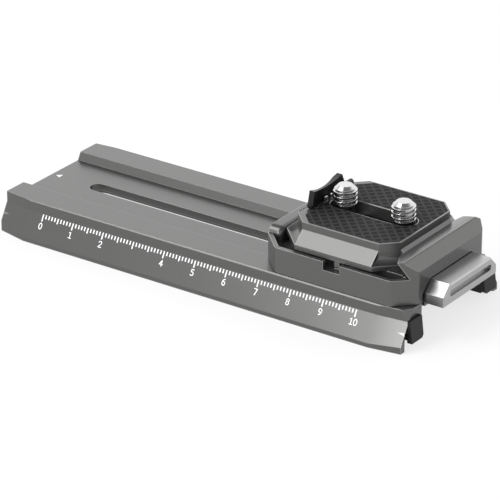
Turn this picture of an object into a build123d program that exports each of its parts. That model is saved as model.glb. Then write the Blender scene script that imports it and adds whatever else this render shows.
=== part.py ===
from build123d import *
import math
import os

# Frame: origin in the middle of the foot plate's underside, +X toward the clamp's button,
# -Y toward the flank with the scale, +Z up. Millimetres.

# foot plate
plate_length = 128.1
foot_half_width = 24.49      # at the underside
strip_height = 1.15          # upright strip at the bottom of each flank
flank_inset = 3.79           # run of the flared flank
neck_half_width = foot_half_width - flank_inset
neck_z = 7.72
rail_top_z = 10.59
rail_edge_bevel = 0.35
rail_width = 8.10            # at the top
rail_lean = 1.20             # slope of a rail's inner side
rail_inner_top = neck_half_width - rail_width
rail_inner_low = rail_inner_top - rail_lean
floor_z = 8.49
floor_under_z = 4.92
leg_width = 3.19             # foot's legs beside the hollow underneath
hollow_half_width = foot_half_width - leg_width
lead_in_length = 9.0
lead_in_upper = 1.0          # inset of the flank at the very end
lead_in_lower = 1.4          # inset of the bottom strip, button end
lead_in_lower_left = 2.0     # inset of the bottom strip, far end
notch_start_x = 58.8         # notch between the rails, under the button
notch_gap = 1.1              # room beside the button
slot_left_x = -50.6
slot_right_x = 52.0
slot_width = 4.6
relief_width = 8.8           # wider part of the slot, underneath
relief_top_z = 6.60
end_bevel_length = 2.45      # bevel on a rail's corner, button end
end_bevel_width = 3.30
end_bevel_lean = 0.97
end_bevel_inset = 0.25

# end blocks
block_proud = 1.15           # how far a block stands out of its rail
block_end_x = plate_length / 2 + block_proud
block_outer = foot_half_width - 4.29
block_width = 5.5
block_inner = block_outer - block_width
block_stem_outer = block_outer - 1.2
block_bottom_z = 2.1
block_top_z = 8.15
block_depth = 5.4            # length of the stem inside the rail
block_gap = 0.08             # clearance of the stem in its pocket
block_screw_r = 1.0
block_screw_head_r = 1.9

# clamp body
clamp_left_x = 17.08
clamp_right_x = 64.00
clamp_half_width = 20.39
clamp_cut_right = 5.2        # corner cuts of its outline
clamp_cut_left = 6.7
clamp_low_wall_z = 17.77
clamp_wall = 1.2
clamp_high_wall_z = 19.42
high_wall_inner_x = 21.0
high_wall_half_length = 13.4
high_wall_round = 2.4        # at its ends, from the side
high_wall_corner = 1.4       # at its inner corners, from above
moat_z = 15.2
seat_z = 18.05
seat_left_x = 24.5
seat_half_width = 16.2
tongue_half_width = rail_inner_low - 0.1
tongue_bottom_z = 8.64
wall_notch = (38.6, 43.7)    # passage for the camera plate's tab, in the front wall
wall_notch_z = 15.47
clamp_edge_bevel = 0.2

# room inside the clamp
room_top_z = 14.0
channel_half_width = 6.3
channel_left_x = 18.45
wide_left_x = 42.0
wide_half_width = 12.4
opening_left_x = 57.4
opening_gap = 0.9            # room beside the button
opening_shoulder_z = 12.85
opening_top_half = 9.8
opening_top_z = 16.1

# camera plate
plate_x = 40.63
plate_lip_half = 19.0
plate_lip_cut = 7.35
plate_rim_half = 15.6
plate_rim_cut = 4.04
plate_bottom_z = 18.10
plate_lip_z = 19.40
plate_rim_z = 22.48
plate_top_z = 24.49
flank_half_length = 11.5
corner_cove = 1.9
pad_left_x = 27.2
pad_right_x = 55.7
pad_half_width = 15.1
pad_cut = 3.7
pad_depth = 0.8
pad_proud = 0.06
pad_gap = 0.04
camera_slot_half = 3.35
camera_slot_ends = (31.25, 49.85)
pad_slot_half = 3.75
slot_rim_bevel = 0.15        # on the metal rim of the camera slot
head_slot_half = 5.7
head_slot_top_z = 21.3
tab_x = (41.1, 42.6)
tab_bottom_z = 16.45

# camera screws
screw_r = 3.175              # 1/4 inch
screw_neck_r = 2.5           # below the thread
screw_thread_z = 24.62       # start of the thread
screw_centres = (31.73, 49.53)
screw_top_z = 29.92
screw_tip_r = 1.9
screw_tip_cone = 1.3
screw_head_r = 5.2
screw_head_z = (18.35, 20.70)
screw_washer_z = (20.78, 21.24)
coin_slot = (1.4, 1.1)       # width, depth

# fixed jaw on the clamp's right side
jaw_gap = 0.06
jaw_wall_gap = 0.10
jaw_slope_low_z = 19.62
jaw_slope_top = (61.32, 22.22)
jaw_step = (61.20, 22.67)
jaw_crown = (60.60, 22.72)
jaw_brow = (58.50, 22.42)
jaw_tip = (57.35, 21.95)
jaw_cut_a = (57.22, -12.8, 21.7)
jaw_cut_b = (60.67, -18.5, 21.3)
jaw_cut_c = (62.50, -16.5, 17.3)
jaw_far_end = ((14.9, 22.80), (16.0, 22.55), (16.7, 22.10), (17.2, 21.50), (17.56, 20.73),
               (18.95, 17.66))
jaw_far_slant = 0.50         # the rounded far end runs back toward the camera plate

# release button, sliding frame and claw
travel = 1.8
button_end_x = 69.98
button_inner_x = 59.6
button_half_width = 12.5
button_bottom_z = 10.27
button_shoulder_z = 12.97
button_top_half = 9.6
button_top_z = 15.84
button_edge = 0.35
button_recess_half = 9.8
button_recess_z = 13.17
button_recess_height = 1.7
button_recess_depth = 1.2
button_step_x = 61.5         # inward of this the button clears the rails
button_step_z = 10.75
frame_z = (10.85, 13.75)
frame_left_x = 20.4
frame_half_width = 5.6
bar_left_x = 52.0            # cross bar behind the button
bar_half_width = 12.0
boss_r = 3.0
boss_x = (32.0, 47.6)
window_gap = 0.3
claw_y = (-1.4, 5.4)
claw_stem_right_x = 21.5
claw_tip_x = 23.3
claw_top_z = 22.2
claw_foot_right_x = 24.2
claw_foot_z = 15.6
claw_heel_z = 16.4
spring_y = 10.3
spring_r = 0.85
spring_wire = 0.15
spring_turns = 7
spring_end_gap = 0.06
pin_r = 0.5
pin_end_x = 49.4
small_screw_r = 0.8
small_head_r = 1.2
claw_screw_at = ((22.3, 0.6), (22.3, 3.8))
button_screw_y = 7.4

# clamp screws and bottom cover
clamp_screw_r = 2.0
clamp_head_r = 3.6
clamp_head_z = 5.0
washer_r = 4.0
washer_thick = 0.5
hole_gap = 0.2
thread_gap = 0.03
cover_bottom_z = tongue_bottom_z
cover_top_z = 10.14
cover_screw_y = tongue_half_width - 2.4
cover_screw_at = ((21.6, cover_screw_y), (36.5, cover_screw_y))
cover_screw_r = 1.0
cover_screw_head_r = 1.8
cover_screw_top_z = rail_top_z + 3.6
clamp_screw_end = 2.0        # below the seat
clamp_screw_socket = 2.5     # across flats

# anti-twist flap on the camera plate's left rim
flap_pivot_x = 26.27
flap_pivot_z = 25.34
flap_half_thick = 0.8
flap_near = (-8.20, -7.10)   # end at the foot and at the top
flap_far = (7.90, 5.60)
flap_top_near_z = 29.15
flap_top_mid_z = 28.75
flap_top_far_z = 29.50
flap_scoop = ((25.45, -6.9), (26.05, -5.6), (26.30, -3.2), (26.10, 0.0), (25.45, 3.6))
barrel_end_y = 11.1
flap_pin_r = 0.4
lug_spans = ((-2.45, -0.6), (0.4, 1.55))
lug_half_thick = 0.66
lug_foot_z = 23.3

far = 60.0                   # larger than anything cut away


def box(x0, x1, y0, y1, z0, z1):
    mid = ((x0 + x1) / 2, (y0 + y1) / 2, (z0 + z1) / 2)
    return Pos(*mid) * Box(x1 - x0, y1 - y0, z1 - z0)


def flat(points):
    return make_face(Polyline(*points, close=True))


def plan(points, z0, z1):
    return extrude(Pos(0, 0, z0) * flat(points), amount=z1 - z0)


def along_x(points, x0, x1):
    frame = Plane(origin=(x0, 0, 0), x_dir=(0, 1, 0), z_dir=(1, 0, 0))
    return extrude(frame * flat(points), amount=x1 - x0)


def along_y(points, y0, y1):
    frame = Plane(origin=(0, y1, 0), x_dir=(1, 0, 0), z_dir=(0, -1, 0))
    return extrude(frame * flat(points), amount=y1 - y0)


def rod(x, y, z0, z1, r):
    return Pos(x, y, (z0 + z1) / 2) * Cylinder(r, z1 - z0)


def rod_x(x0, x1, y, z, r):
    return Pos((x0 + x1) / 2, y, z) * Rot(0, 90, 0) * Cylinder(r, x1 - x0)


def cone(x, y, z0, z1, r0, r1):
    return Pos(x, y, (z0 + z1) / 2) * Cone(r0, r1, z1 - z0)


def long_hole(x0, x1, y, z0, z1, r):
    return (box(x0, x1, y - r, y + r, z0, z1)
            + rod(x0, y, z0, z1, r)
            + rod(x1, y, z0, z1, r))


def hexagon(x, y, z0, z1, across):
    return Pos(x, y, z0) * extrude(RegularPolygon(across / math.sqrt(3), 6), amount=z1 - z0)


def eight_sides(cx, half, cut):
    near = half - cut
    return [(cx + half, -near), (cx + half, near), (cx + near, half), (cx - near, half),
            (cx - half, near), (cx - half, -near), (cx - near, -half), (cx + near, -half)]


def both(shape):
    return shape + mirror(shape, about=Plane.XZ)


def save(shape, name):
    shape.label = name
    export_step(shape, f"parts/{name}.step")
    print(name, round(shape.volume, 2), len(shape.solids()))


# foot plate: extruded section, then the cuts at its ends
flank_run = (foot_half_width - neck_half_width) / (neck_z - strip_height)
half_section = [
    (foot_half_width, 0), (foot_half_width, strip_height), (neck_half_width, neck_z),
    (neck_half_width, rail_top_z - rail_edge_bevel),
    (neck_half_width - rail_edge_bevel, rail_top_z),
    (rail_inner_top, rail_top_z), (rail_inner_low, floor_z)]
outline = half_section + [(-y, z) for y, z in reversed(half_section)]
outline += [(-hollow_half_width, 0), (-hollow_half_width, floor_under_z),
            (hollow_half_width, floor_under_z), (hollow_half_width, 0)]
half_plate = plate_length / 2
base_plate = along_x(outline, -half_plate, half_plate)

below = 2.0
upper_cut = [(neck_half_width, rail_top_z + below), (neck_half_width, neck_z),
             (neck_half_width + flank_run * (neck_z + below), -below),
             (foot_half_width + leg_width, -below),
             (foot_half_width + leg_width, rail_top_z + below)]
for end in (-1, 1):
    lower_inset = lead_in_lower if end > 0 else lead_in_lower_left
    start_x = end * (half_plate - lead_in_length)
    lower = [(start_x, foot_half_width), (end * half_plate, foot_half_width - lower_inset),
             (end * (half_plate + 2), foot_half_width - lower_inset * (1 + 2 / lead_in_length)),
             (end * (half_plate + 2), foot_half_width + 4), (start_x, foot_half_width + 4)]
    base_plate -= both(plan(lower, -1, strip_height + 6))
    frame = Plane(origin=(start_x, 0, 0), x_dir=(0, 1, 0), z_dir=(1, 0, 0))
    slant = (end * lead_in_length, -lead_in_upper, 0)
    wedge = extrude(frame * flat(upper_cut), amount=lead_in_length * 1.2, dir=slant)
    base_plate -= both(wedge)

corner_out = neck_half_width - end_bevel_inset
bevel_a = Vector(half_plate - end_bevel_length, -corner_out, rail_top_z)
bevel_b = Vector(half_plate, end_bevel_width - corner_out, rail_top_z)
bevel_c = Vector(half_plate, -neck_half_width + end_bevel_lean, neck_z)
bevel_normal = (bevel_b - bevel_a).cross(bevel_c - bevel_a).normalized()
if bevel_normal.Z < 0:
    bevel_normal = bevel_normal * -1
bevel_frame = Plane(origin=bevel_a, x_dir=bevel_b - bevel_a, z_dir=bevel_normal)
base_plate -= both(extrude(bevel_frame * Rectangle(far / 2, far / 2), amount=far / 8))

notch_half_width = button_half_width + notch_gap
base_plate -= box(notch_start_x, 2 * far, -notch_half_width, notch_half_width, -1, far)
slot_r = slot_width / 2
relief_r = relief_width / 2
base_plate -= long_hole(slot_left_x + slot_r, slot_right_x - slot_r, 0,
                        floor_under_z - 1, floor_z + 1, slot_r)
base_plate -= long_hole(slot_left_x + slot_r, slot_right_x - slot_r, 0,
                        floor_under_z - 1, relief_top_z, relief_r)
pocket_x = half_plate - block_depth
base_plate -= both(box(pocket_x - block_gap, 2 * far, block_inner - block_gap - 0.1,
                       block_stem_outer + block_gap, floor_under_z - 1,
                       block_top_z + block_gap))
block_screw_x = half_plate - 2.6
block_screw_y = (block_inner + block_stem_outer) / 2
block_screw_top = rail_top_z - 0.6
base_plate -= both(rod(block_screw_x, block_screw_y, floor_under_z, block_screw_top,
                       block_screw_r + thread_gap))
save(base_plate, "base_plate")

# end blocks
slant_depth = 0.35
head_profile = [(half_plate + 0.02, block_bottom_z), (block_end_x + slant_depth, block_bottom_z),
                (block_end_x - slant_depth, block_top_z), (half_plate + 0.02, block_top_z)]
block_round = 0.7            # lower inner corner
block_small_round = 0.3
end_face_edges = [(block_inner, block_bottom_z + block_round),
                  (block_inner, block_top_z - block_small_round),
                  (block_inner + block_small_round, block_top_z),
                  (block_outer, block_top_z), (block_outer, block_bottom_z),
                  (block_inner + block_round, block_bottom_z)]
head = (along_y(head_profile, block_inner, block_outer)
        & along_x(end_face_edges, half_plate, block_end_x + block_depth))
stem = box(pocket_x, half_plate + 0.1, block_inner, block_stem_outer, block_bottom_z, block_top_z)
block = head + stem
block_recess_z = block_bottom_z + 1.5
block -= rod(block_screw_x, block_screw_y, block_bottom_z - 1, block_top_z + 1,
             block_screw_r + hole_gap)
block -= rod(block_screw_x, block_screw_y, block_bottom_z - 1, block_recess_z,
             block_screw_head_r + hole_gap)
save(block, "stop_block_back")
save(mirror(block, about=Plane.XZ), "stop_block_front")
block_screw = (rod(block_screw_x, block_screw_y, block_recess_z - 1.2, block_recess_z,
                   block_screw_head_r)
               + rod(block_screw_x, block_screw_y, block_recess_z, block_screw_top - 0.2,
                     block_screw_r))
block_screw -= hexagon(block_screw_x, block_screw_y, block_recess_z - 1.3,
                       block_recess_z - 0.5, 1.5)
save(Compound([block_screw, mirror(block_screw, about=Plane.XZ)]), "stop_block_screws")

# clamp body
near_right = clamp_half_width - clamp_cut_right
near_left = clamp_half_width - clamp_cut_left


def clamp_outline(inset):
    half = clamp_half_width - inset
    slant_in = inset * (math.sqrt(2) - 1)
    right = clamp_right_x - inset
    left = clamp_left_x + inset
    right_near = near_right - slant_in
    left_near = near_left - slant_in
    return [(right, -right_near), (right, right_near),
            (clamp_right_x - clamp_cut_right - slant_in, half),
            (clamp_left_x + clamp_cut_left + slant_in, half), (left, left_near),
            (left, -left_near), (clamp_left_x + clamp_cut_left + slant_in, -half),
            (clamp_right_x - clamp_cut_right - slant_in, -half)]


def rounded(points, z0, z1, r):
    face = Pos(0, 0, z0) * flat(points)
    block = extrude(face, amount=z1 - z0)
    upright = block.edges().filter_by(Axis.Z)
    return fillet(upright, r)


corner_r = 2.0
jaw_room = 26.0
clamp_whole = rounded(clamp_outline(0), rail_top_z, jaw_room, corner_r)
clamp_whole = chamfer(clamp_whole.edges().group_by(Axis.Z)[0], clamp_edge_bevel)
clamp_body = clamp_whole & box(0, 2 * far, -far, far, rail_top_z, clamp_low_wall_z)
high_wall = box(clamp_left_x, high_wall_inner_x, -high_wall_half_length, high_wall_half_length,
                moat_z, clamp_high_wall_z)
high_wall = fillet(high_wall.edges().filter_by(Axis.X).group_by(Axis.Z)[-1], high_wall_round)
high_wall = fillet(high_wall.edges().filter_by(Axis.Z).group_by(Axis.X)[-1], high_wall_corner)
jaw_wall_x = plate_x + plate_lip_half + jaw_wall_gap
flank_slope = (plate_rim_z - plate_lip_z) / (plate_lip_half - plate_rim_half)
flank_up = jaw_gap * math.sqrt(1 + flank_slope ** 2)


def flank_z(offset):
    return plate_lip_z + (plate_lip_half - offset) * flank_slope


jaw_section = [(jaw_wall_x, moat_z - 2), (clamp_right_x, moat_z - 2),
               (clamp_right_x, jaw_slope_low_z), jaw_slope_top, jaw_step, jaw_crown, jaw_brow,
               jaw_tip, (jaw_tip[0], flank_z(jaw_tip[0] - plate_x) + flank_up),
               (jaw_wall_x, flank_z(jaw_wall_x - plate_x) + flank_up)]
jaw = along_y(jaw_section, -clamp_half_width, clamp_half_width)
cut_a = Vector(*jaw_cut_a)
cut_b = Vector(*jaw_cut_b)
cut_c = Vector(*jaw_cut_c)
cut_normal = (cut_b - cut_a).cross(cut_c - cut_a).normalized()
if cut_normal.X > 0:
    cut_normal = cut_normal * -1
cut_frame = Plane(origin=cut_a, x_dir=cut_b - cut_a, z_dir=cut_normal)
jaw_cutter = extrude(cut_frame * Rectangle(far, far), amount=far / 2)
jaw_cutter = jaw_cutter & box(0, 2 * far, -far, far, moat_z, far)
jaw -= both(jaw_cutter)
far_end = [(jaw_far_end[0][0], far), *jaw_far_end, (far, jaw_far_end[-1][1]), (far, far)]
far_back = jaw_slope_top[0] - clamp_left_x
far_frame = Plane(origin=(clamp_left_x, -far_back * jaw_far_slant, 0), x_dir=(0, 1, 0),
                  z_dir=(1, 0, 0))
far_slant = (1, jaw_far_slant, 0)
jaw -= extrude(far_frame * flat(far_end), amount=2 * far, dir=far_slant)
clamp_body += jaw & clamp_whole
inner = clamp_outline(clamp_wall)
inner_plan = plan(inner, moat_z, far) & box(clamp_left_x, jaw_wall_x, -far, far, 0, far)
seat = plan([(seat_left_x, -seat_half_width + 5), (seat_left_x + 5, -seat_half_width),
             (jaw_wall_x + 1, -seat_half_width), (jaw_wall_x + 1, seat_half_width),
             (seat_left_x + 5, seat_half_width), (seat_left_x, seat_half_width - 5)],
            moat_z - 1, seat_z)
moat = inner_plan - seat
moat -= along_y([(jaw_tip[0], flank_z(jaw_tip[0] - plate_x) + flank_up), jaw_tip, jaw_brow,
                 (jaw_brow[0], far), (2 * far, far), (2 * far, jaw_slope_low_z + 1.4),
                 (jaw_wall_x, flank_z(jaw_wall_x - plate_x) + flank_up)], -far, far)
clamp_body -= moat
corner_moat = plan(inner, moat_z, far) & both(jaw_cutter)
clamp_body -= corner_moat - seat
clamp_body += high_wall & clamp_whole
seat_pad = seat & plan(clamp_outline(1.0), 0, far)
clamp_body += seat_pad - box(jaw_wall_x, 2 * far, -far, far, clamp_low_wall_z, far)
clamp_body -= box(wall_notch[0], wall_notch[1], -clamp_half_width - 1, -seat_half_width - 1,
                  wall_notch_z, far)
stop_post = box(tab_x[0], tab_x[1], -seat_half_width - 2.6, -seat_half_width - 1.6,
                moat_z - 0.2, tab_bottom_z - 0.35)
clamp_body += stop_post

room = box(channel_left_x, wide_left_x + 1, -channel_half_width, channel_half_width,
           rail_top_z - 1, room_top_z)
room += box(wide_left_x, opening_left_x + 1, -wide_half_width, wide_half_width,
            rail_top_z - 1, room_top_z)
opening_half_width = button_half_width + opening_gap
opening_profile = [(-opening_half_width, 0), (-opening_half_width, opening_shoulder_z),
                   (-opening_top_half, opening_top_z), (opening_top_half, opening_top_z),
                   (opening_half_width, opening_shoulder_z), (opening_half_width, 0)]
room += along_x(opening_profile, opening_left_x, 2 * far)
claw_room = box(channel_left_x, seat_left_x, claw_y[0] - 0.3, claw_y[1] + 0.3,
                room_top_z - 0.5, far)
clamp_body -= room + claw_room

bosses = None
for bx in boss_x:
    boss = rod(bx, 0, cover_top_z, room_top_z + 0.5, boss_r)
    bosses = boss if bosses is None else bosses + boss
clamp_body += bosses
for bx in boss_x:
    clamp_body -= rod(bx, 0, cover_top_z - 1, seat_z - clamp_screw_end + 0.4, clamp_screw_r + thread_gap)
for cx, cy in cover_screw_at:
    clamp_body -= both(rod(cx, cy, cover_top_z - 1, cover_screw_top_z + 0.4,
                           cover_screw_r + thread_gap))
clamp_body -= both(rod_x(wide_left_x - 3, wide_left_x + 0.5, spring_y,
                         sum(frame_z) / 2, pin_r + thread_gap))
foot_left_x = clamp_left_x + 1.92
clamp_foot = box(foot_left_x, wide_left_x - 1.0, channel_half_width + 0.4, tongue_half_width,
                 cover_top_z, rail_top_z + 0.2)
for cx, cy in cover_screw_at:
    clamp_foot -= rod(cx, cy, cover_top_z - 1, cover_screw_top_z + 0.4, cover_screw_r + thread_gap)
clamp_body += both(clamp_foot)
save(clamp_body, "clamp_body")

# bottom cover with its screws, clamp screws and their washers
cover_right_x = clamp_right_x - 0.5
bottom_cover = box(foot_left_x, cover_right_x, -tongue_half_width, tongue_half_width,
                   cover_bottom_z, cover_top_z)
cover_hole_r = cover_screw_r + hole_gap
for bx in boss_x:
    bottom_cover -= rod(bx, 0, cover_bottom_z - 1, cover_top_z + 1, clamp_screw_r + hole_gap)
for cx, cy in cover_screw_at:
    bottom_cover -= both(rod(cx, cy, cover_bottom_z - 1, cover_top_z + 1, cover_hole_r))
    bottom_cover -= both(cone(cx, cy, cover_bottom_z, cover_bottom_z + 1.0,
                              cover_screw_head_r + 0.1, cover_hole_r))
save(bottom_cover, "bottom_cover")

cover_screws = []
for cx, cy in cover_screw_at:
    for side in (-1, 1):
        screw = cone(cx, side * cy, cover_bottom_z + 0.05, cover_bottom_z + 0.85,
                     cover_screw_head_r, cover_screw_r)
        screw += rod(cx, side * cy, cover_bottom_z + 0.5, cover_screw_top_z, cover_screw_r)
        screw -= hexagon(cx, side * cy, cover_bottom_z, cover_bottom_z + 0.6, 1.2)
        cover_screws.append(screw)
save(Compound(cover_screws), "cover_screws")

clamp_screws = []
clamp_washers = []
for bx in boss_x:
    screw_low = relief_top_z - washer_thick
    screw = rod(bx, 0, clamp_head_z, screw_low, clamp_head_r)
    screw += rod(bx, 0, screw_low - 0.2, seat_z - clamp_screw_end, clamp_screw_r)
    screw -= hexagon(bx, 0, clamp_head_z - 0.1, clamp_head_z + 0.75, clamp_screw_socket)
    clamp_screws.append(screw)
    washer = rod(bx, 0, screw_low, relief_top_z, washer_r)
    washer -= rod(bx, 0, screw_low - 1, relief_top_z + 1, clamp_screw_r + hole_gap)
    clamp_washers.append(washer)
save(Compound(clamp_screws), "clamp_screws")
save(Compound(clamp_washers), "clamp_washers")

# release button
button_profile = [(-button_half_width, button_bottom_z), (-button_half_width, button_shoulder_z),
                  (-button_top_half, button_top_z), (button_top_half, button_top_z),
                  (button_half_width, button_shoulder_z), (button_half_width, button_bottom_z)]
button = along_x(button_profile, button_inner_x, button_end_x)
button = chamfer(button.faces().sort_by(Axis.X)[-1].edges(), button_edge)
button -= box(button_inner_x - 1, button_step_x, -far, far, 0, button_step_z)
recess_r = button_recess_height / 2
recess = box(button_end_x - button_recess_depth, button_end_x + 1,
             -button_recess_half + recess_r, button_recess_half - recess_r,
             button_recess_z - recess_r, button_recess_z + recess_r)
for side in (-1, 1):
    recess += rod_x(button_end_x - button_recess_depth, button_end_x + 1,
                    side * (button_recess_half - recess_r), button_recess_z, recess_r)
button -= recess
frame_mid_z = sum(frame_z) / 2
button_screw_end = button_inner_x + 4.4
button -= both(rod_x(button_inner_x - 1, button_screw_end + 0.2, button_screw_y, frame_mid_z,
                     small_screw_r + thread_gap))
save(button, "release_button")

# sliding frame
slide_frame = box(frame_left_x, button_inner_x, -frame_half_width, frame_half_width,
                  frame_z[0], frame_z[1])
slide_frame += box(bar_left_x, button_inner_x, -bar_half_width, bar_half_width,
                   frame_z[0], frame_z[1])
for bx in boss_x:
    slide_frame -= long_hole(bx, bx + travel + 0.1, 0, frame_z[0] - 1, frame_z[1] + 1,
                             boss_r + window_gap)
slide_frame -= both(rod_x(bar_left_x - 1, button_inner_x + 1, button_screw_y, frame_mid_z,
                          small_screw_r + hole_gap))
slide_frame -= both(rod_x(bar_left_x - 1, bar_left_x + 1.6, button_screw_y, frame_mid_z,
                          small_head_r + hole_gap))
for cx, cy in claw_screw_at:
    slide_frame -= rod(cx, cy, frame_z[0] - 1, frame_z[1] + 1, small_screw_r + hole_gap)
    slide_frame -= rod(cx, cy, frame_z[0] - 1, frame_z[0] + 1.0, small_head_r + hole_gap)
save(slide_frame, "slide_frame")

# left claw: foot on the frame, stem beside the plate's lip, hook over its flank
hook_tip = claw_tip_x
hook_low_tip = flank_z(plate_x - hook_tip) + flank_up
hook_low_root = flank_z(plate_x - claw_stem_right_x) + flank_up
claw = along_y([(frame_left_x, frame_z[1]), (claw_foot_right_x, frame_z[1]),
                (claw_foot_right_x, claw_foot_z), (claw_stem_right_x, claw_heel_z),
                (claw_stem_right_x, hook_low_root),
                (hook_tip, hook_low_tip), (hook_tip, claw_top_z - 0.5),
                (hook_tip - 0.5, claw_top_z), (frame_left_x + 0.9, claw_top_z),
                (frame_left_x, claw_top_z - 1.2)], claw_y[0], claw_y[1])
for cx, cy in claw_screw_at:
    claw -= rod(cx, cy, frame_z[1] - 1, claw_foot_z - 0.2, small_screw_r + thread_gap)
save(claw, "left_claw")
claw_screws = []
for cx, cy in claw_screw_at:
    screw = rod(cx, cy, frame_z[0] + 0.05, frame_z[0] + 1.0, small_head_r)
    screw += rod(cx, cy, frame_z[0] + 0.9, claw_foot_z - 0.4, small_screw_r)
    screw -= hexagon(cx, cy, frame_z[0], frame_z[0] + 0.55, 1.2)
    claw_screws.append(screw)
save(Compound(claw_screws), "claw_screws")
button_screws = []
for side in (-1, 1):
    y = side * button_screw_y
    screw = rod_x(bar_left_x + 0.3, bar_left_x + 1.6, y, frame_mid_z, small_head_r)
    screw += rod_x(bar_left_x + 1.5, button_screw_end, y, frame_mid_z, small_screw_r)
    screw -= rod_x(bar_left_x, bar_left_x + 0.9, y, frame_mid_z, 0.6)
    button_screws.append(screw)
save(Compound(button_screws), "button_screws")

# return springs and the pins inside them
coil_start = wide_left_x + spring_wire + spring_end_gap
coil_length = bar_left_x - wide_left_x - 2 * (spring_wire + spring_end_gap)
coil_frame = Plane(origin=(coil_start, -spring_y, frame_mid_z), x_dir=(0, 1, 0), z_dir=(1, 0, 0))
coil_path = coil_frame * Helix(coil_length / spring_turns, coil_length, spring_r)
wire_frame = Plane(origin=coil_path @ 0, z_dir=coil_path % 0)
coil = sweep(wire_frame * Circle(spring_wire), path=coil_path)
save(coil, "return_spring_front")
save(mirror(coil, about=Plane.XZ), "return_spring_back")
pin = rod_x(wide_left_x - 2.9, pin_end_x, spring_y, frame_mid_z, pin_r)
save(Compound([pin, mirror(pin, about=Plane.XZ)]), "spring_pins")

# anti-twist flap: barrel round the pivot, blade above it with a finger scoop
blade = along_y([(flap_pivot_x - flap_half_thick, flap_pivot_z),
                 (flap_pivot_x + flap_half_thick, flap_pivot_z),
                 (flap_pivot_x + flap_half_thick, far), (flap_pivot_x - flap_half_thick, far)],
                flap_near[0], flap_far[0])
flap_foot_z = flap_pivot_z - flap_half_thick
side_view = Polyline((flap_far[1], flap_top_far_z), (flap_far[0], flap_foot_z),
                     (flap_near[0], flap_foot_z), (flap_near[1], flap_top_near_z))
side_view += Spline((flap_near[1], flap_top_near_z),
                    ((flap_near[1] + flap_far[1]) / 2 - 1, flap_top_mid_z),
                    (flap_far[1], flap_top_far_z))
side_frame = Plane(origin=(flap_pivot_x - 3, 0, 0), x_dir=(0, 1, 0), z_dir=(1, 0, 0))
blade = blade & extrude(side_frame * make_face(side_view), amount=6)
scoop_low_z = flap_pivot_z + flap_half_thick + 0.2
scoop_line = Spline(*flap_scoop) + Polyline(flap_scoop[-1], (flap_pivot_x - 3, flap_scoop[-1][1]),
                                            (flap_pivot_x - 3, flap_scoop[0][1]), flap_scoop[0])
blade -= extrude(Pos(0, 0, scoop_low_z) * make_face(scoop_line), amount=far)


def rod_y(y0, y1, x, z, r):
    return Pos(x, (y0 + y1) / 2, z) * Rot(90, 0, 0) * Cylinder(r, y1 - y0)


flap = blade + rod_y(flap_near[0], barrel_end_y, flap_pivot_x, flap_pivot_z, flap_half_thick)
lug_gap = 0.08
for y0, y1 in lug_spans:
    flap -= box(flap_pivot_x - 2, flap_pivot_x + 2, y0 - lug_gap, y1 + lug_gap,
                flap_foot_z - 1, flap_pivot_z + flap_half_thick + lug_gap)
flap -= rod_y(flap_near[0] + 0.5, barrel_end_y - 0.5, flap_pivot_x, flap_pivot_z,
              flap_pin_r + thread_gap)
save(flap, "twist_flap")
flap_pin = rod_y(flap_near[0] + 0.6, barrel_end_y - 0.6, flap_pivot_x, flap_pivot_z, flap_pin_r)
save(flap_pin, "flap_pin")
lugs = []
for y0, y1 in lug_spans:
    lug = rod_y(y0, y1, flap_pivot_x, flap_pivot_z, lug_half_thick)
    lug += box(flap_pivot_x - lug_half_thick, flap_pivot_x + lug_half_thick, y0, y1,
               lug_foot_z, flap_pivot_z)
    lug -= rod_y(y0 - 1, y1 + 1, flap_pivot_x, flap_pivot_z, flap_pin_r + thread_gap)
    lugs.append(lug)
save(Compound(lugs), "flap_lugs")

# camera plate and its pad
top_plate = plan(eight_sides(plate_x, plate_rim_half, plate_rim_cut), plate_bottom_z, plate_top_z)
top_plate += plan(eight_sides(plate_x, plate_lip_half, plate_lip_cut), plate_bottom_z, plate_lip_z)
strip = along_y([(plate_rim_half - 1, plate_lip_z - 1), (plate_lip_half, plate_lip_z - 1),
                 (plate_lip_half, plate_lip_z), (plate_rim_half, plate_rim_z),
                 (plate_rim_half - 1, plate_rim_z)], -flank_half_length, flank_half_length)
for turn in range(4):
    top_plate += Pos(plate_x, 0, 0) * Rot(0, 0, 90 * turn) * strip
facet_distance = (2 * plate_rim_half - plate_rim_cut) / math.sqrt(2)
cove = box(facet_distance - 0.5, facet_distance + corner_cove, -plate_lip_cut, plate_lip_cut,
           plate_lip_z - 0.5, plate_lip_z + corner_cove)
cove -= (Pos(facet_distance + corner_cove, 0, plate_lip_z + corner_cove)
         * Rot(90, 0, 0) * Cylinder(corner_cove, plate_rim_half))
for turn in range(4):
    quarter = box(flank_half_length, plate_lip_half, flank_half_length, plate_lip_half, 0, far)
    piece = (Rot(0, 0, 45) * cove) & quarter
    top_plate += Pos(plate_x, 0, 0) * Rot(0, 0, 90 * turn) * piece
tab = box(tab_x[0], tab_x[1], -plate_lip_half + 0.2, -plate_lip_half + 1.1, tab_bottom_z,
          plate_bottom_z + 0.5)
top_plate += tab
top_plate -= long_hole(camera_slot_ends[0], camera_slot_ends[1], 0, plate_bottom_z - 1, far,
                       camera_slot_half)
top_plate -= long_hole(camera_slot_ends[0], camera_slot_ends[1], 0, plate_bottom_z - 1,
                       head_slot_top_z, head_slot_half)
pad_mid = (pad_left_x + pad_right_x) / 2
pad_half_length = (pad_right_x - pad_left_x) / 2


def pad_outline(grow):
    long_side = pad_half_length + grow
    wide_side = pad_half_width + grow
    cut = pad_cut + grow * 0.6
    return [(pad_mid + long_side, -wide_side + cut), (pad_mid + long_side, wide_side - cut),
            (pad_mid + long_side - cut, wide_side), (pad_mid - long_side + cut, wide_side),
            (pad_mid - long_side, wide_side - cut), (pad_mid - long_side, -wide_side + cut),
            (pad_mid - long_side + cut, -wide_side), (pad_mid + long_side - cut, -wide_side)]


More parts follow.
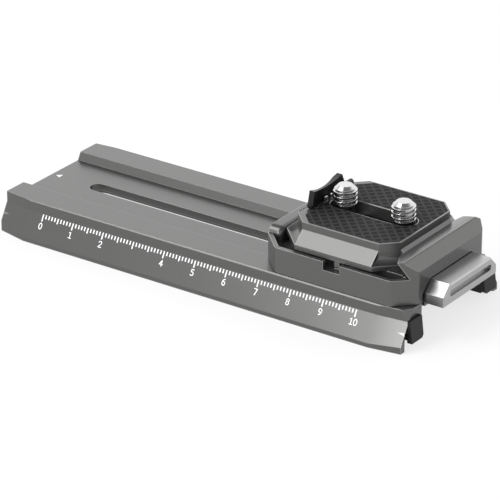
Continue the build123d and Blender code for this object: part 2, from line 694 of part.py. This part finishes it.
pad_floor_z = plate_top_z - pad_depth
recess = plan(pad_outline(pad_gap), pad_floor_z, far)
recess -= long_hole(camera_slot_ends[0], camera_slot_ends[1], 0, 0, far,
                    pad_slot_half - pad_gap)
top_plate -= recess
rim_low_z = plate_top_z - slot_rim_bevel
rim_high = slot_rim_bevel + 0.2
rim_cut = along_x([(-camera_slot_half, rim_low_z),
                   (camera_slot_half, rim_low_z),
                   (camera_slot_half + rim_high, rim_low_z + rim_high),
                   (-camera_slot_half - rim_high, rim_low_z + rim_high)],
                  camera_slot_ends[0], camera_slot_ends[1])
for slot_end in camera_slot_ends:
    rim_cut += cone(slot_end, 0, rim_low_z, rim_low_z + rim_high, camera_slot_half,
                    camera_slot_half + rim_high)
top_plate -= rim_cut
for y0, y1 in lug_spans:
    top_plate -= box(flap_pivot_x - lug_half_thick - thread_gap,
                     flap_pivot_x + lug_half_thick + thread_gap,
                     y0 - thread_gap, y1 + thread_gap, lug_foot_z - thread_gap, far)
save(top_plate, "top_plate")
pad = plan(pad_outline(0), pad_floor_z, plate_top_z + pad_proud)
pad -= long_hole(camera_slot_ends[0], camera_slot_ends[1], 0, 0, far, pad_slot_half)
save(pad, "rubber_pad")

# camera screws and their washers
for name, sx in zip(("left", "right"), screw_centres):
    screw = rod(sx, 0, screw_head_z[0], screw_head_z[1], screw_head_r)
    screw += rod(sx, 0, screw_head_z[1] - 0.5, screw_thread_z + 0.5, screw_neck_r)
    screw += rod(sx, 0, screw_thread_z, screw_top_z - screw_tip_cone, screw_r)
    screw += cone(sx, 0, screw_top_z - screw_tip_cone, screw_top_z, screw_r, screw_tip_r)
    screw -= box(sx - coin_slot[0] / 2, sx + coin_slot[0] / 2, -far, far,
                 screw_head_z[0] - 1, screw_head_z[0] + coin_slot[1])
    save(screw, f"camera_screw_{name}")
    washer = rod(sx, 0, screw_washer_z[0], screw_washer_z[1], screw_head_r)
    washer -= rod(sx, 0, screw_washer_z[0] - 1, screw_washer_z[1] + 1, screw_neck_r + hole_gap)
    save(washer, f"screw_washer_{name}")
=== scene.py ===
import math
import bpy
import bmesh
import numpy as np
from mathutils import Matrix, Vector


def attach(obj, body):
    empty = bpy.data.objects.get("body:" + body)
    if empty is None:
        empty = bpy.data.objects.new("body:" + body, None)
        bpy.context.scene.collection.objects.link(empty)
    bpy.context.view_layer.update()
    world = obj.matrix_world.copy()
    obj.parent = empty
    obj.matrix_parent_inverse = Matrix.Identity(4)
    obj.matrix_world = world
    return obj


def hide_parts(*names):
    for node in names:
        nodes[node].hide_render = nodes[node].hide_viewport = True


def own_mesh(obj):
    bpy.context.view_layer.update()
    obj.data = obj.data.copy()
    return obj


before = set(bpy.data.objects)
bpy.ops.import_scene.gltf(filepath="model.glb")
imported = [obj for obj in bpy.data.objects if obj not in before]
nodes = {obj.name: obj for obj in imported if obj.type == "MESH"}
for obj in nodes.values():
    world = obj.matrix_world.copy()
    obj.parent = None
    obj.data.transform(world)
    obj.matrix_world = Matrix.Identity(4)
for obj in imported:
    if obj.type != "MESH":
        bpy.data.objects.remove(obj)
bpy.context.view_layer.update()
mm = 0.001
fullTurn = 2 * math.pi
print("stage: frame loaded,", len(nodes), "nodes")


# a Wire is a socket that can be written into sums and products
class Wire:
    def __init__(self, tree, socket):
        self.tree = tree
        self.socket = socket

    def math(self, operation, *others):
        return addNode(self.tree, "ShaderNodeMath", {"operation": operation}, [self, *others])

    def __add__(self, other):
        return self.math("ADD", other)

    def __radd__(self, other):
        return self.math("ADD", other)

    def __sub__(self, other):
        return self.math("SUBTRACT", other)

    def __rsub__(self, other):
        return addNode(self.tree, "ShaderNodeMath", {"operation": "SUBTRACT"}, [other, self])

    def __mul__(self, other):
        return self.math("MULTIPLY", other)

    def __rmul__(self, other):
        return self.math("MULTIPLY", other)

    def __truediv__(self, other):
        return self.math("DIVIDE", other)

    def __rtruediv__(self, other):
        return addNode(self.tree, "ShaderNodeMath", {"operation": "DIVIDE"}, [other, self])


def addNode(tree, kind, settings=None, inputs=None, output=0):
    node = tree.nodes.new(kind)
    for key, value in (settings or {}).items():
        setattr(node, key, value)
    pairs = inputs.items() if isinstance(inputs, dict) else enumerate(inputs or [])
    for key, value in pairs:
        if isinstance(value, Wire):
            tree.links.new(value.socket, node.inputs[key])
        else:
            node.inputs[key].default_value = value
    return Wire(tree, node.outputs[output])


def grey(value):
    return (value, value, value, 1.0)


def newMaterial(name):
    material = bpy.data.materials.new(name)
    material.use_nodes = True
    tree = material.node_tree
    place = addNode(tree, "ShaderNodeTexCoord", output="Object")
    return material, tree, tree.nodes["Principled BSDF"], place


def feed(tree, shader, name, wire):
    tree.links.new(wire.socket, shader.inputs[name])


def splitAxes(tree, place):
    first = addNode(tree, "ShaderNodeSeparateXYZ", None, [place])
    return [Wire(tree, socket) for socket in first.socket.node.outputs]


def noise(tree, place, scale, detail=2.0):
    return addNode(tree, "ShaderNodeTexNoise", {"noise_dimensions": "3D"},
                   {"Vector": place, "Scale": scale, "Detail": detail, "Roughness": 0.5})


def ease(tree, value, window, ends=(0.0, 1.0)):
    # a soft step from ends[0] to ends[1] while the value crosses the window
    return addNode(tree, "ShaderNodeMapRange", {"interpolation_type": "SMOOTHSTEP"},
                   {"Value": value, "From Min": window[0], "From Max": window[1],
                    "To Min": ends[0], "To Max": ends[1]})


def swing(pair, pattern):
    # a factor that starts at pair[0] and grows by pair[1] with the pattern
    return pair[0] + pair[1] * pattern


def tinted(tree, level, tint=(1.0, 1.0, 1.0)):
    return addNode(tree, "ShaderNodeMix", {"data_type": "RGBA"},
                   {"Factor": level, 6: grey(0.0), 7: (*tint, 1.0)}, output=2)


def roundedNormal(tree, use, height):
    # edges rounded over use["edge"], with the height pattern pressed in on top
    edge = addNode(tree, "ShaderNodeBevel", {"samples": 8}, {"Radius": use["edge"]})
    return addNode(tree, "ShaderNodeBump", None,
                   {"Strength": use["bump"], "Distance": use["bumpDepth"],
                    "Height": height, "Normal": edge})


anodisedUse = {
    "colour": 0.114, "tint": (1.0, 1.0, 0.985), "metal": 0.74, "roughness": 0.27,
    "grain": 9000.0, "fineTone": (0.965, 0.05), "fineRough": 0.05,    # blasted grain
    "cloud": 60.0, "cloudTone": (0.98, 0.04), "cloudRough": 0.03,     # broad unevenness
    "edge": 0.16 * mm, "bump": 0.05, "bumpDepth": 0.01 * mm,
    "rim": 0.27, "rimReach": 0.28 * mm, "rimWindow": (0.60, 0.92),    # painted highlight: outer edges lighter, for light caught on their chamfers
}


def makeAnodised(name, use):
    # painted highlight: near outer edges the colour is lifted, standing in for light caught on
    # their chamfers; the edges are found by rays cast inward: near an outer edge they leave the
    # metal again
    material, tree, shader, place = newMaterial(name)
    fine = noise(tree, place, use["grain"])
    cloud = noise(tree, place, use["cloud"])
    level = use["colour"] * swing(use["fineTone"], fine) * swing(use["cloudTone"], cloud)
    inward = addNode(tree, "ShaderNodeAmbientOcclusion",
                     {"inside": True, "only_local": True, "samples": 8},
                     {"Distance": use["rimReach"]}, output="AO")
    rim = ease(tree, inward, use["rimWindow"], (1.0, 0.0))
    # painted highlight: lighter colour along outer edges
    level = level + (use["rim"] - use["colour"]) * rim
    roughness = use["roughness"] + use["fineRough"] * (fine - 0.5) + use["cloudRough"] * cloud
    feed(tree, shader, "Base Color", tinted(tree, level, use["tint"]))
    feed(tree, shader, "Roughness", roughness)
    feed(tree, shader, "Normal", roundedNormal(tree, use, fine))
    shader.inputs["Metallic"].default_value = use["metal"]
    return material


polishUse = {
    "colour": 0.37, "tone": (0.90, 0.18), "roughness": 0.28, "lineRough": 0.06,
    "brush": (60.0, 1500.0, 1500.0), "lines": 3.0,    # brushed along X
    "edge": 0.2 * mm, "bump": 0.03, "bumpDepth": 0.01 * mm,
}


def makePolished(name, use):
    material, tree, shader, place = newMaterial(name)
    brushed = addNode(tree, "ShaderNodeMapping", None, {"Vector": place, "Scale": use["brush"]})
    lines = noise(tree, brushed, use["lines"], 3.0)
    level = use["colour"] * swing(use["tone"], lines)
    feed(tree, shader, "Base Color", tinted(tree, level))
    feed(tree, shader, "Roughness", use["roughness"] + use["lineRough"] * lines)
    feed(tree, shader, "Normal", roundedNormal(tree, use, lines))
    shader.inputs["Metallic"].default_value = 1.0
    return material


plasticUse = {
    "colour": 0.007, "tone": (0.85, 0.30), "roughness": 0.44, "grain": 2600.0,
    "grainRough": 0.1, "shine": 0.25, "edge": 0.12 * mm, "bump": 0.12, "bumpDepth": 0.02 * mm,
}
flapUse = dict(plasticUse, colour=0.004, roughness=0.30, grain=2200.0, shine=0.36,
               edge=0.25 * mm, bump=0.06)


def makeBlack(name, use):
    material, tree, shader, place = newMaterial(name)
    grain = noise(tree, place, use["grain"])
    level = use["colour"] * swing(use["tone"], grain)
    feed(tree, shader, "Base Color", tinted(tree, level))
    feed(tree, shader, "Roughness", use["roughness"] + use["grainRough"] * (grain - 0.5))
    feed(tree, shader, "Normal", roundedNormal(tree, use, grain))
    shader.inputs["Metallic"].default_value = 0.0
    shader.inputs["Specular IOR Level"].default_value = use["shine"]
    return material


steelUse = {
    "colour": 0.50, "tone": (0.92, 0.12), "roughness": 0.30, "grain": 3000.0,
    "grainRough": 0.08, "edge": 0.08 * mm, "bump": 0.03, "bumpDepth": 0.01 * mm,
}
brightUse = dict(steelUse, colour=0.47, roughness=0.18, grain=2400.0)
wireUse = dict(steelUse, colour=0.42, roughness=0.25, grain=4000.0)


def makeSteel(name, use):
    material, tree, shader, place = newMaterial(name)
    grain = noise(tree, place, use["grain"], 3.0)
    level = use["colour"] * swing(use["tone"], grain)
    feed(tree, shader, "Base Color", tinted(tree, level))
    feed(tree, shader, "Roughness", use["roughness"] + use["grainRough"] * (grain - 0.5))
    feed(tree, shader, "Normal", roundedNormal(tree, use, grain))
    shader.inputs["Metallic"].default_value = 1.0
    return material


padUse = {
    "pitch": 2.12 * mm, "start": (28.25 * mm, -16.1 * mm), "ridge": 0.145,
    "wallFoot": 0.07, "wallTop": 0.05,                # soft sides of the pits, in pitches
    "shadedPitColour": 0.006, "crest": 0.031, "speck": 0.006,     # colours; the darker pit colour is painted shade in the pits
    "roughness": 0.66, "grain": 5200.0, "grainRough": 0.1, "grainHeight": 0.12,
    "shine": 0.2, "edge": 0.1 * mm, "bump": 0.8, "bumpDepth": 0.12 * mm,
}


def makeRubber(name, use):
    # square pits in a grid turned by 45 degrees: the distance to the nearest cell wall, in
    # shares of the pitch, on both diagonals, taken through a soft step
    material, tree, shader, place = newMaterial(name)
    x, y, z = splitAxes(tree, place)
    diagonal = math.sqrt(0.5)
    along = (diagonal * (x + y) - use["start"][0]) / use["pitch"]
    across = (diagonal * (y - x) - use["start"][1]) / use["pitch"]
    wallAt = 0.5 - use["ridge"]

    def wall(cells):
        fromMiddle = cells.math("WRAP", 0.5, -0.5).math("ABSOLUTE")
        return ease(tree, fromMiddle, (wallAt - use["wallFoot"], wallAt + use["wallTop"]))

    ridge = wall(along).math("MAXIMUM", wall(across))
    grain = noise(tree, place, use["grain"], 3.0)
    # painted shade: the pits take the darker colour, the crests the rubber's own
    level = use["shadedPitColour"] + (use["crest"] - use["shadedPitColour"]) * ridge + use["speck"] * (grain - 0.5)
    feed(tree, shader, "Base Color", tinted(tree, level))
    feed(tree, shader, "Roughness", use["roughness"] + use["grainRough"] * grain)
    feed(tree, shader, "Normal", roundedNormal(tree, use, ridge + use["grainHeight"] * grain))
    shader.inputs["Specular IOR Level"].default_value = use["shine"]
    return material


paintUse = {"colour": 0.90, "tone": (0.94, 0.08), "grain": 7000.0, "roughness": 0.5,
            "grainRough": 0.1}


def makePaint(name, use):
    material, tree, shader, place = newMaterial(name)
    speck = noise(tree, place, use["grain"])
    feed(tree, shader, "Base Color", tinted(tree, use["colour"] * swing(use["tone"], speck)))
    feed(tree, shader, "Roughness", use["roughness"] + use["grainRough"] * speck)
    return material


anodised = makeAnodised("greyAnodised", anodisedUse)
polished = makePolished("polishedButton", polishUse)
blackPlastic = makeBlack("blackPlastic", plasticUse)
blackFlap = makeBlack("blackFlap", flapUse)
plainSteel = makeSteel("plainSteel", steelUse)
brightSteel = makeSteel("brightScrew", brightUse)
springWire = makeSteel("springWire", wireUse)
padRubber = makeRubber("padRubber", padUse)
markPaint = makePaint("markPaint", paintUse)

finishOf = {    # every other node is plain steel
    "base_plate": anodised, "clamp_body": anodised, "bottom_cover": anodised,
    "top_plate": anodised, "left_claw": anodised, "release_button": polished,
    "stop_block_front": blackPlastic, "stop_block_back": blackPlastic,
    "twist_flap": blackFlap, "rubber_pad": padRubber, "flap_lugs": brightSteel,
    "camera_screw_left": brightSteel, "camera_screw_right": brightSteel,
    "return_spring_front": springWire, "return_spring_back": springWire,
}
for name, node in nodes.items():
    node.data.materials.clear()
    node.data.materials.append(finishOf.get(name, plainSteel))
print("stage: finishes ready")



def addPiece(name, mesh, material, body, standsFor=()):
    piece = bpy.data.objects.new(name, mesh)
    bpy.context.scene.collection.objects.link(piece)
    mesh.materials.clear()
    mesh.materials.append(material)
    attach(piece, body)
    if standsFor:
        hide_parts(*standsFor)
    return piece


def tubeMesh(name, rings):
    # rings is rows x points x 3: each ring is closed, neighbours are joined by four-sided
    # faces, and a lid closes the first and the last ring
    count = rings.shape[1]
    numbers = np.arange(rings.shape[0] * count).reshape(-1, count)
    low, high = numbers[:-1], numbers[1:]
    quads = np.stack([low, high, np.roll(high, -1, 1), np.roll(low, -1, 1)], -1)
    faces = quads.reshape(-1, 4).tolist()
    faces.append(numbers[0].tolist())
    faces.append(numbers[-1][::-1].tolist())
    mesh = bpy.data.meshes.new(name)
    mesh.from_pydata(rings.reshape(-1, 3).tolist(), [], faces)
    mesh.update()
    return mesh


def faceOutward(mesh, merge=1e-7):
    work = bmesh.new()
    work.from_mesh(mesh)
    bmesh.ops.remove_doubles(work, verts=work.verts, dist=merge)
    bmesh.ops.recalc_face_normals(work, faces=work.faces)
    work.to_mesh(mesh)
    work.free()
    mesh.update()


def smoothBelow(mesh, degrees):
    mesh.polygons.foreach_set("use_smooth", np.ones(len(mesh.polygons), bool))
    work = bmesh.new()
    work.from_mesh(mesh)
    limit = math.radians(degrees)
    for edge in work.edges:
        edge.smooth = len(edge.link_faces) == 2 and edge.calc_face_angle(0.0) < limit
    work.to_mesh(mesh)
    work.free()
    mesh.update()


def joinMeshes(name, meshes):
    work = bmesh.new()
    for mesh in meshes:
        work.from_mesh(mesh)
        bpy.data.meshes.remove(mesh)
    joined = bpy.data.meshes.new(name)
    work.to_mesh(joined)
    work.free()
    return joined


scaleUse = {    # printed scale on the front flank, lengths in mm
    "zeroX": -50.675, "lineY": -20.99, "lineZ": 7.22, "lean": 30.0,    # top line of the flank
    "ticks": 101, "pitch": 1.0, "perNumber": 10, "perMedium": 5, "tickWidth": 0.36,
    "tickTop": -0.35, "short": 0.72, "medium": 1.12, "long": 1.56,
    "numbers": (0, 1, 2, 4, 5, 6, 7, 8, 9, 10), "numberTop": 2.0, "numberHeight": 1.72,
    "stroke": 0.150, "advance": 0.74, "digitWidth": 0.62,    # the last two in heights
    "proud": 0.02, "sunk": 0.02,                             # how the print lies in the metal
}


def onFlank(x, down, lift, use=scaleUse):
    # a point on the leaning flank: down along the slope, lift away from it
    lean = math.radians(use["lean"])
    y = use["lineY"] - down * math.sin(lean) - lift * math.cos(lean)
    z = use["lineZ"] - down * math.cos(lean) + lift * math.sin(lean)
    return np.stack(np.broadcast_arrays(x, y, z), -1) * mm


def makeTicks(use):
    # one thin block for each tick, pitch apart: longest at a number, middling halfway
    index = np.arange(use["ticks"])
    end = np.where(index % use["perMedium"] == 0, use["medium"], use["short"])
    end = np.where(index % use["perNumber"] == 0, use["long"], end)
    top = np.full(len(index), use["tickTop"])
    half = use["tickWidth"] / 2
    x = (use["zeroX"] + index * use["pitch"])[:, None] + np.array([-half, half, half, -half])
    down = np.stack([top, top, end, end], 1)
    points = np.concatenate([onFlank(x, down, use["proud"]), onFlank(x, down, -use["sunk"])], 1)
    block = np.array([[0, 3, 2, 1], [0, 1, 5, 4], [1, 2, 6, 5], [2, 3, 7, 6], [3, 0, 4, 7],
                      [4, 5, 6, 7]])
    faces = (block[None] + 8 * index[:, None, None]).reshape(-1, 4)
    mesh = bpy.data.meshes.new("scaleTicks")
    mesh.from_pydata(points.reshape(-1, 3).tolist(), [], faces.tolist())
    faceOutward(mesh, 1e-9)
    addPiece("scaleTicks", mesh, markPaint, "base")


digitStrokes = {    # line through points, or arc by centre, radii and angles, height 1
    "0": [("arc", 0.31, 0.5, 0.27, 0.46, 0, 360)],
    "1": [("line", (0.10, 0.80), (0.33, 0.95), (0.33, 0.04)),
          ("line", (0.10, 0.04), (0.55, 0.04))],
    "2": [("arc", 0.30, 0.70, 0.25, 0.26, 160, -35),
          ("line", (0.505, 0.55), (0.05, 0.05), (0.58, 0.05))],
    "4": [("line", (0.44, 0.03), (0.44, 0.96), (0.03, 0.30), (0.62, 0.30))],
    "5": [("line", (0.54, 0.95), (0.13, 0.95), (0.11, 0.55)),
          ("arc", 0.27, 0.32, 0.28, 0.28, 125, -140)],
    "6": [("arc", 0.32, 0.31, 0.25, 0.27, 0, 360), ("arc", 0.50, 0.34, 0.44, 0.61, 180, 92)],
    "7": [("line", (0.04, 0.95), (0.58, 0.95), (0.24, 0.03))],
    "8": [("arc", 0.31, 0.73, 0.21, 0.22, 0, 360), ("arc", 0.31, 0.28, 0.25, 0.24, 0, 360)],
    "9": [("arc", 0.30, 0.68, 0.25, 0.27, 0, 360), ("arc", 0.12, 0.65, 0.44, 0.61, 0, -88)],
}
strokeUse = {
    "arcSteps": 28, "lineSteps": 6,
    "endReach": (1.0, 0.75, 0.4), "endWidth": (0.05, 0.66, 0.92),    # round ends, in half strokes
}


def strokePath(stroke, use=strokeUse):
    # an arc goes round its ellipse in equal angles, a line in equal steps between its corners
    if stroke[0] == "arc":
        centreX, centreY, radiusX, radiusY, begin, end = stroke[1:]
        turn = np.radians(np.linspace(begin, end, use["arcSteps"]))
        return np.stack([centreX + radiusX * np.cos(turn), centreY + radiusY * np.sin(turn)], -1)
    corners = np.array(stroke[1:], float)
    runs = [np.linspace(a, b, use["lineSteps"]) for a, b in zip(corners[:-1], corners[1:])]
    return np.concatenate(runs)


def strokeRings(path, thick, toPlace, use=strokeUse):
    # a flat band: half the stroke's width to both sides of the path, across its direction,
    # narrowing to a round end where the path isn't closed
    apart = np.linalg.norm(np.diff(path, axis=0), axis=1) > 1e-6
    path = path[np.concatenate([[True], apart])]
    ahead = np.gradient(path, axis=0)
    ahead /= np.linalg.norm(ahead, axis=1)[:, None]
    side = np.stack([-ahead[:, 1], ahead[:, 0]], -1)
    width = np.full(len(path), thick / 2)
    if np.linalg.norm(path[0] - path[-1]) > 1e-3:
        reach = np.array(use["endReach"]) * thick / 2
        narrow = np.array(use["endWidth"]) * thick / 2
        start = path[0] - ahead[0] * reach[:, None]
        finish = path[-1] + ahead[-1] * reach[::-1, None]
        path = np.concatenate([start, path, finish])
        side = np.concatenate([np.repeat(side[:1], 3, 0), side, np.repeat(side[-1:], 3, 0)])
        width = np.concatenate([narrow, width, narrow[::-1]])
    left = path + side * width[:, None]
    right = path - side * width[:, None]
    return np.stack([toPlace(left, 1), toPlace(right, 1), toPlace(right, 0), toPlace(left, 0)], 1)


def makeNumbers(use):
    # each number is centred under its tick, its digits one advance apart
    height = use["numberHeight"]
    meshes = []
    for value in use["numbers"]:
        text = str(value)
        wide = height * (use["advance"] * (len(text) - 1) + use["digitWidth"])
        begin = use["zeroX"] + value * use["perNumber"] * use["pitch"] - wide / 2
        for place, digit in enumerate(text):
            left = begin + height * use["advance"] * place

            def toPlace(points, upper, left=left):
                down = use["numberTop"] + (1 - points[:, 1]) * height
                lift = use["proud"] if upper else -use["sunk"]
                return onFlank(left + points[:, 0] * height, down, lift)

            for stroke in digitStrokes[digit]:
                rings = strokeRings(strokePath(stroke), use["stroke"], toPlace)
                meshes.append(tubeMesh("stroke", rings))
    joined = joinMeshes("scaleNumbers", meshes)
    faceOutward(joined, 1e-9)
    addPiece("scaleNumbers", joined, markPaint, "base")


arrowUse = {"corners": ((-62.665, -0.025), (-61.165, 1.025), (-61.015, -0.845)),
            "floorZ": 8.49, "proud": 0.02, "sunk": 0.02}


def makeArrow(use):
    # a thin three-sided block printed on the sunken floor
    flat = np.array(use["corners"])
    levels = (use["floorZ"] + use["proud"], use["floorZ"] - use["sunk"])
    points = np.concatenate([np.column_stack([flat, np.full(3, level)]) for level in levels]) * mm
    mesh = bpy.data.meshes.new("floorArrow")
    mesh.from_pydata(points.tolist(), [],
                     [(0, 1, 2), (5, 4, 3), (0, 3, 4, 1), (1, 4, 5, 2), (2, 5, 3, 0)])
    faceOutward(mesh, 1e-9)
    addPiece("floorArrow", mesh, markPaint, "base")


makeTicks(scaleUse)
makeNumbers(scaleUse)
makeArrow(arrowUse)
print("stage: scale made")


screwUse = {    # camera screws, lengths in mm
    "centres": {"left": 31.73, "right": 49.53}, "around": 96,
    "radius": 3.175, "root": 2.50, "pitch": 1.27, "crestSlope": 2.3, "crestCut": 0.30,
    "threadStart": 24.62, "runIn": 0.5, "shank": 20.7, "overlap": 0.3, "rowHeight": 0.055,
    "top": 29.92, "cone": 1.25, "tipRadius": 1.88, "tipBand": 0.85, "tipFade": 0.35,
    "lidRings": 6, "headLow": 18.35, "headHigh": 20.70, "headRadius": 5.2,
    "upperRound": (0.25, 0.07), "lowerRound": (0.35, 0.10), "bore": 0.001,
    "smoothThread": 40, "smoothHead": 35,
}


def roundAbout(centre, radius, turn, level):
    # a ring of points for each row: its radius about the upright axis, at the row's level
    x = centre + radius * np.cos(turn)
    y = radius * np.sin(turn)
    return np.stack(np.broadcast_arrays(x, y, level), -1) * mm


def makeThread(side, use):
    # the radius is the root plus a crest that climbs one pitch a turn, flat-topped and eased,
    # kept under the cone of the tip, and flat rings close the top
    centre = use["centres"][side]
    turn = np.linspace(0, fullTurn, use["around"], endpoint=False)
    rows = int((use["top"] - use["shank"]) / use["rowHeight"])
    height = np.linspace(use["shank"] - use["overlap"], use["top"] - 0.001, rows)
    level, angle = np.meshgrid(height, turn, indexing="ij")
    wave = (level / use["pitch"] - angle / fullTurn) % 1.0
    crest = use["crestSlope"] * (1 - 2 * np.abs(wave - 0.5)) - use["crestCut"]
    crest = np.clip(crest, 0, 1)
    crest = crest * crest * (3 - 2 * crest)
    tip = np.clip((level - use["top"] + use["tipBand"]) / use["tipFade"], 0, 1)
    runIn = np.clip((level - use["threadStart"]) / use["runIn"], 0, 1)
    radius = use["root"] + (use["radius"] - use["root"]) * np.maximum(crest, tip) * runIn
    widening = (use["radius"] - use["tipRadius"]) / use["cone"]
    radius = np.minimum(radius, use["tipRadius"] + (use["top"] - level) * widening)
    share = np.linspace(1, 0, use["lidRings"] + 1)[1:-1, None]
    rings = np.concatenate([roundAbout(centre, radius, angle, level),
                            roundAbout(centre, radius[-1] * share, turn, use["top"])])
    mesh = tubeMesh("thread", rings)
    faceOutward(mesh)
    smoothBelow(mesh, use["smoothThread"])
    return mesh


def makeHead(side, use):
    # a profile of radius and level turned about the screw's axis
    low, high, reach = use["headLow"], use["headHigh"], use["headRadius"]
    upper, upperMid = use["upperRound"]
    lower, lowerMid = use["lowerRound"]
    profile = np.array([(use["bore"], high), (reach - upper, high),
                        (reach - upperMid, high - upperMid), (reach, high - upper),
                        (reach, low + lower), (reach - lowerMid, low + lowerMid),
                        (reach - lower, low), (use["bore"], low)])
    turn = np.linspace(0, fullTurn, use["around"], endpoint=False)
    rings = roundAbout(use["centres"][side], profile[:, :1], turn, profile[:, 1:])
    mesh = tubeMesh("head", rings)
    faceOutward(mesh)
    smoothBelow(mesh, use["smoothHead"])
    return mesh


for side in ("left", "right"):
    name = "cameraScrew" + side.title()
    whole = joinMeshes(name, [makeThread(side, screwUse), makeHead(side, screwUse)])
    addPiece(name, whole, brightSteel, side + "_screw", ("camera_screw_" + side,))
print("stage: camera screws made")


# metal pieces with smooth curves: copies of the nodes with merged, lightly cleaned meshes
softUse = {"merge": 2e-6, "flat": 0.05, "angle": 24.0}    # metres, degrees, degrees


def dressedCopy(nodeName, pieceName, material, body, use=softUse):
    mesh = nodes[nodeName].data.copy()
    work = bmesh.new()
    work.from_mesh(mesh)
    bmesh.ops.remove_doubles(work, verts=work.verts, dist=use["merge"])
    bmesh.ops.dissolve_limit(work, angle_limit=math.radians(use["flat"]), verts=work.verts,
                             edges=work.edges, use_dissolve_boundaries=False)
    work.to_mesh(mesh)
    work.free()
    smoothBelow(mesh, use["angle"])
    return addPiece(pieceName, mesh, material, body, (nodeName,))


dressedCopy("base_plate", "footPlate", anodised, "base")
dressedCopy("clamp_body", "clampHousing", anodised, "base")
dressedCopy("top_plate", "cameraPlate", anodised, "camera_plate")
dressedCopy("release_button", "releaseButton", polished, "release")

for side, turned in (("front", -1), ("back", 1)):
    spring = dressedCopy("return_spring_" + side, "returnSpring" + side.title(), springWire,
                         "base")
    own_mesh(spring)
print("stage: dressed metal pieces")


floorUse = {"colour": 0.90, "roughness": 0.9, "glow": 0.72, "half": 3.0, "below": 0.05 * mm}


def makeFloor(use):
    # pale paint, mostly replaced by plain white where the camera or a reflection sees it
    half, z = use["half"], -use["below"]
    mesh = bpy.data.meshes.new("paleFloor")
    mesh.from_pydata([(-half, -half, z), (half, -half, z), (half, half, z), (-half, half, z)],
                     [], [(0, 1, 2, 3)])
    floor = bpy.data.objects.new("paleFloor", mesh)
    bpy.context.scene.collection.objects.link(floor)
    material, tree, shader, place = newMaterial("paleFloorPaint")
    shader.inputs["Base Color"].default_value = grey(use["colour"])
    shader.inputs["Roughness"].default_value = use["roughness"]
    shader.inputs["Specular IOR Level"].default_value = 0.0
    seen = addNode(tree, "ShaderNodeLightPath", output="Is Camera Ray")
    for ray in ("Is Glossy Ray", "Is Transmission Ray"):
        seen = seen.math("MAXIMUM", addNode(tree, "ShaderNodeLightPath", output=ray))
    white = addNode(tree, "ShaderNodeEmission", None, {"Color": grey(1.0), "Strength": 1.0})
    painted = Wire(tree, shader.outputs[0])
    blend = addNode(tree, "ShaderNodeMixShader", None, [seen * use["glow"], painted, white])
    tree.links.new(blend.socket, tree.nodes["Material Output"].inputs["Surface"])
    mesh.materials.append(material)


worldUse = {"front": 1.0, "back": 1.70, "depth": (-0.5, 0.35),    # brighter behind the object
            "zenith": 0.30, "height": (0.55, 0.85)}               # and dim overhead


def makeWorld(use):
    world = bpy.data.worlds.new("studio")
    bpy.context.scene.world = world
    world.use_nodes = True
    tree = world.node_tree
    background = tree.nodes["Background"]
    x, y, z = splitAxes(tree, addNode(tree, "ShaderNodeTexCoord", output="Generated"))
    around = ease(tree, y, use["depth"], (use["front"], use["back"]))
    high = ease(tree, z, use["height"])
    level = around * (1 - high) + use["zenith"] * high
    tree.links.new(level.socket, background.inputs["Strength"])
    background.inputs["Color"].default_value = grey(1.0)


lampAim = (0.02, 0.0, 0.015)
lampUse = {
    "keySoftbox": {"direction": (-0.40, -0.44, 0.80), "distance": 1.2, "size": 0.72,
                   "radiance": 4.9},
    "frontPanel": {"direction": (-0.17, -0.88, 0.44), "distance": 1.2, "size": 0.47,
                   "radiance": 8.0},
}


def makeLamp(name, direction, distance, size, radiance):
    # a round panel that faces the object, its power from how bright its face is
    light = bpy.data.lights.new(name, "AREA")
    light.shape = "DISK"
    light.size = size
    light.energy = radiance * math.pi * math.pi * (size / 2) ** 2
    lamp = bpy.data.objects.new(name, light)
    bpy.context.scene.collection.objects.link(lamp)
    away = Vector(direction).normalized()
    lamp.location = Vector(lampAim) + away * distance
    lamp.rotation_mode = "QUATERNION"
    lamp.rotation_quaternion = away.to_track_quat("Z", "Y")


cameraUse = {"target": (6.742, -6.888, 7.22), "back": (0.5202, -0.7408, 0.4250),
             "distance": 892.18, "lens": 246.12, "sensor": 36.0, "clip": (0.01, 20.0)}


def makeCamera(use):
    camera = bpy.data.cameras.new("viewCamera")
    camera.lens = use["lens"]
    camera.sensor_width = use["sensor"]
    camera.clip_start, camera.clip_end = use["clip"]
    holder = bpy.data.objects.new("viewCamera", camera)
    bpy.context.scene.collection.objects.link(holder)
    back = Vector(use["back"]).normalized()
    holder.location = (Vector(use["target"]) + back * use["distance"]) * mm
    holder.rotation_mode = "QUATERNION"
    holder.rotation_quaternion = (-back).to_track_quat("-Z", "Y")
    bpy.context.scene.camera = holder


makeFloor(floorUse)
makeWorld(worldUse)
for name, lamp in lampUse.items():
    makeLamp(name, **lamp)
makeCamera(cameraUse)
bpy.context.scene.view_settings.view_transform = "Standard"
print("stage: floor, light and camera")
